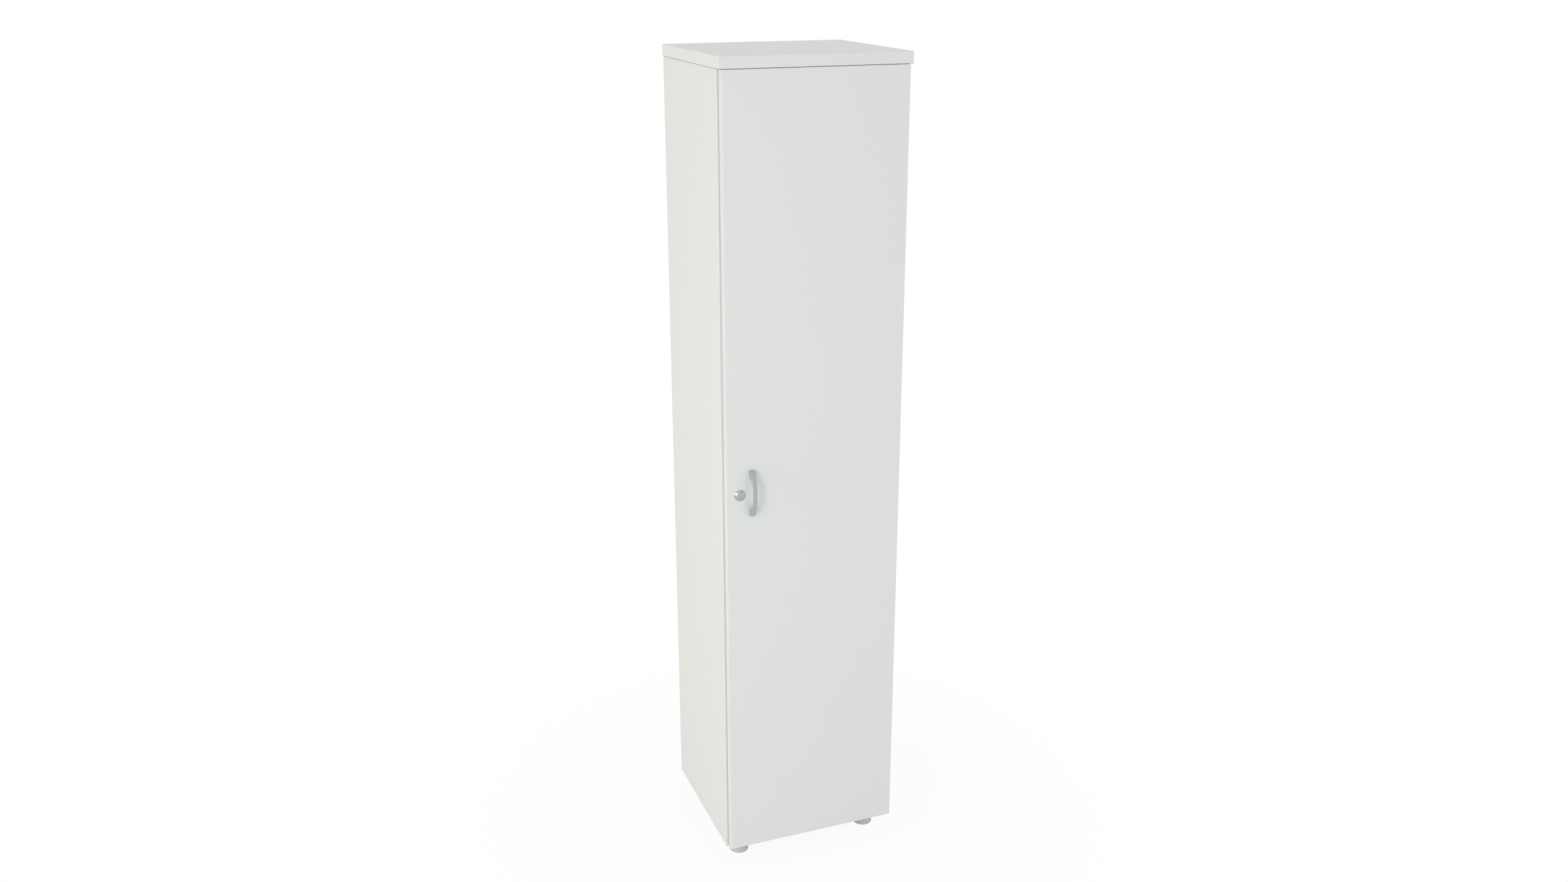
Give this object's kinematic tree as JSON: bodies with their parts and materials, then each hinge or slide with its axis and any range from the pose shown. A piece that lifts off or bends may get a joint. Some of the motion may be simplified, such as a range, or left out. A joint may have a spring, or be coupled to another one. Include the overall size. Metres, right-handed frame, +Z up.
{
  "type": "broom cupboard",
  "caption": "Tall narrow white cupboard with a full-height hinged door, bow handle, cam lock, hat shelf, broom hooks and round levelling feet.",
  "frame": {"origin": "on the floor, under the middle of the overall box", "axes": "+Z up, front with the door and handle towards -Y, +X to the right seen from the front"},
  "size_m": [0.42, 0.406, 1.85],
  "materials": {
    "white_board": "satin melamine",
    "white_edging": "satin",
    "back_board": "satin melamine",
    "foot_plastic": "matte",
    "dark_plastic": "matte",
    "white_plastic": "satin",
    "soft_plastic": "soft",
    "zinc": "die-cast",
    "hinge_steel": "nickel-plated",
    "screw_steel": "zinc-plated",
    "plate_steel": "zinc-plated",
    "satin_metal": "satin",
    "lock_metal": "satin nickel",
    "hook_metal": "satin",
    "beech": "raw"
  },
  "bodies": {
    "carcass": {"top_panel": "white_board", "bottom_panel": "white_board", "left_side": "white_board", "right_side": "white_board", "hat_shelf": "white_board", "top_edging": "white_edging", "bottom_edging": "white_edging", "side_edging": "white_edging", "hat_shelf_edging": "white_edging", "back_panel": "back_board", "foot_sockets": "dark_plastic", "cam_caps": "white_plastic", "foot_hole_caps": "white_plastic", "door_buffers": "soft_plastic", "cam_discs": "zinc", "hinge_arm_1": "hinge_steel", "hinge_arm_2": "hinge_steel", "hinge_arm_3": "hinge_steel", "hinge_arm_4": "hinge_steel", "hinge_plate_1": "hinge_steel", "hinge_plate_2": "hinge_steel", "hinge_plate_3": "hinge_steel", "hinge_plate_4": "hinge_steel", "cam_bolts": "screw_steel", "shelf_pins": "screw_steel", "hinge_plate_screws": "screw_steel", "hinge_arm_screws": "screw_steel", "lock_catch_screws": "screw_steel", "broom_hook_screws": "screw_steel", "wall_bracket_screws": "screw_steel", "lock_catch": "plate_steel", "wall_bracket": "plate_steel", "broom_hook_1": "hook_metal", "broom_hook_2": "hook_metal", "broom_hook_3": "hook_metal", "dowels": "beech"},
    "door": {"door_panel": "white_board", "door_edging": "white_edging", "hinge_cup_1": "hinge_steel", "hinge_cup_2": "hinge_steel", "hinge_cup_3": "hinge_steel", "hinge_cup_4": "hinge_steel", "hinge_pins": "hinge_steel", "hinge_cup_screws": "screw_steel", "handle": "satin_metal", "handle_screws": "screw_steel", "lock_housing": "lock_metal", "lock_nut": "plate_steel"},
    "lock": {"lock_plug": "lock_metal", "lock_lever": "plate_steel", "lock_lever_screw": "screw_steel"},
    "foot_front_left": {"foot_front_left": "foot_plastic"},
    "foot_front_right": {"foot_front_right": "foot_plastic"},
    "foot_back_left": {"foot_back_left": "foot_plastic"},
    "foot_back_right": {"foot_back_right": "foot_plastic"}
  },
  "joints": [
    {"name": "door_swing", "type": "hinge", "parent": "carcass", "child": "door", "pos_m": [0.1965, -0.168, 0.9355], "axis": [0, 0, 1], "range_deg": [0, 95], "stiffness_Nm_per_rad": 0.6, "springref_deg": -28.65},
    {"name": "lock_turn", "type": "hinge", "parent": "door", "child": "lock", "pos_m": [-0.174, -0.177, 0.935], "axis": [0, 1, 0], "range_deg": [0, 90]},
    {"name": "foot_front_left_adjust", "type": "slide", "parent": "carcass", "child": "foot_front_left", "axis": [0, 0, -1], "range_m": [0, 0.01]},
    {"name": "foot_front_right_adjust", "type": "slide", "parent": "carcass", "child": "foot_front_right", "axis": [0, 0, -1], "range_m": [0, 0.01]},
    {"name": "foot_back_left_adjust", "type": "slide", "parent": "carcass", "child": "foot_back_left", "axis": [0, 0, -1], "range_m": [0, 0.01]},
    {"name": "foot_back_right_adjust", "type": "slide", "parent": "carcass", "child": "foot_back_right", "axis": [0, 0, -1], "range_m": [0, 0.01]}
  ]
}
